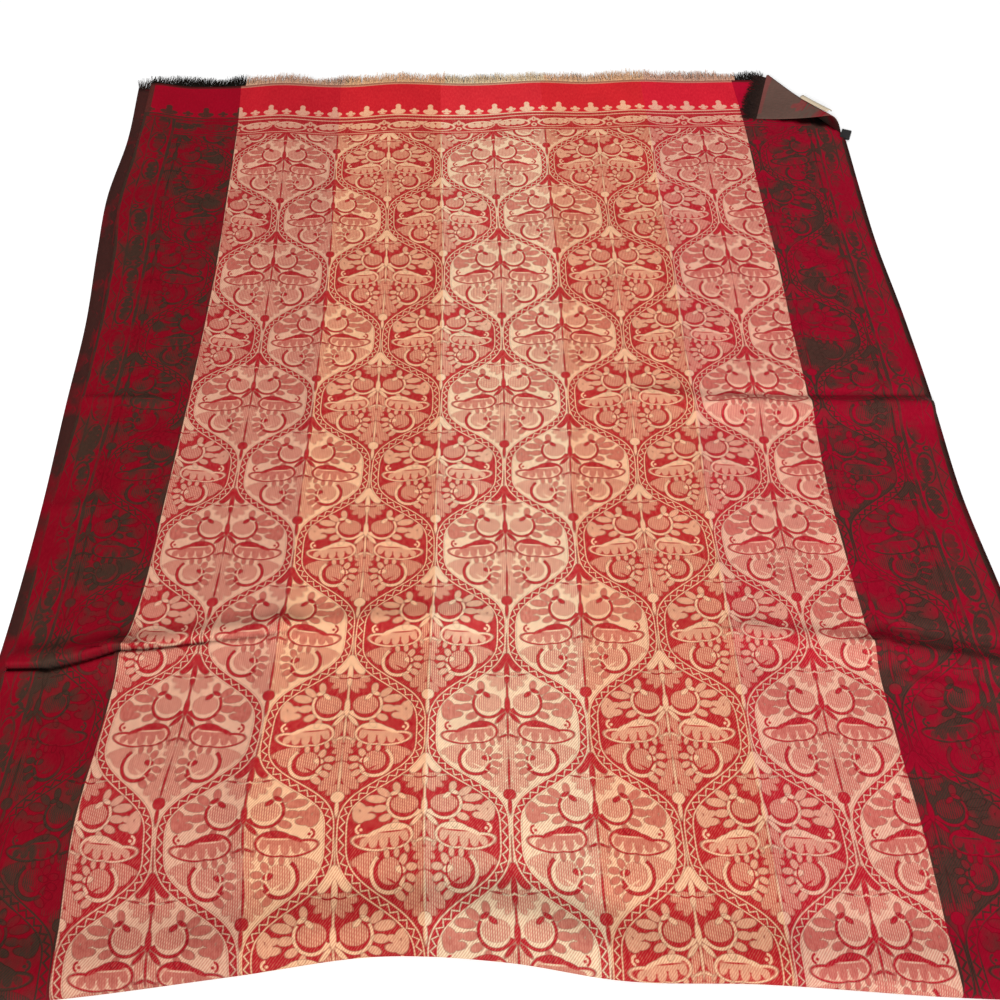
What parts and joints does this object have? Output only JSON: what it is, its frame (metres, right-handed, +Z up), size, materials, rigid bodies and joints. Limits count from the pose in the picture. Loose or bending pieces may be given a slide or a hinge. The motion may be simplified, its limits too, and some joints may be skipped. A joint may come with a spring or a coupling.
{
  "type": "jacquard shawl scarf laid flat",
  "caption": "Wide woven shawl folded in half across its length and laid flat, with eyelash fringe along its far ends and one far corner turned over.",
  "frame": {"origin": "middle of the box's underside, on the surface that the shawl lies on", "axes": "+X across the cloth to the right as the face is seen, +Y along it from the near fold to the fringed ends, +Z up"},
  "size_m": [0.7226, 0.8798, 0.0154],
  "materials": {
    "face_cloth": "jacquard weave, crimson weft over cream, gold, taupe and dark brown warp, soft satin sheen",
    "back_cloth": "the weave's back, its colours exchanged, dark olive brown with thin red lines",
    "warp_fringe": "loose warp ends, dark at the side bands and cream to taupe between them",
    "dark_fringe": "loose dark warp ends",
    "cream_tape": "smooth woven tape, bare",
    "black_tape": "smooth woven tape, bare"
  },
  "bodies": {
    "root": {"upper_layer": "face_cloth", "under_layer": "back_cloth", "turned_corner": "back_cloth", "upper_fringe": "warp_fringe", "under_fringe": "dark_fringe", "corner_fringe": "dark_fringe", "cream_label": "cream_tape", "black_label": "black_tape"}
  },
  "joints": []
}
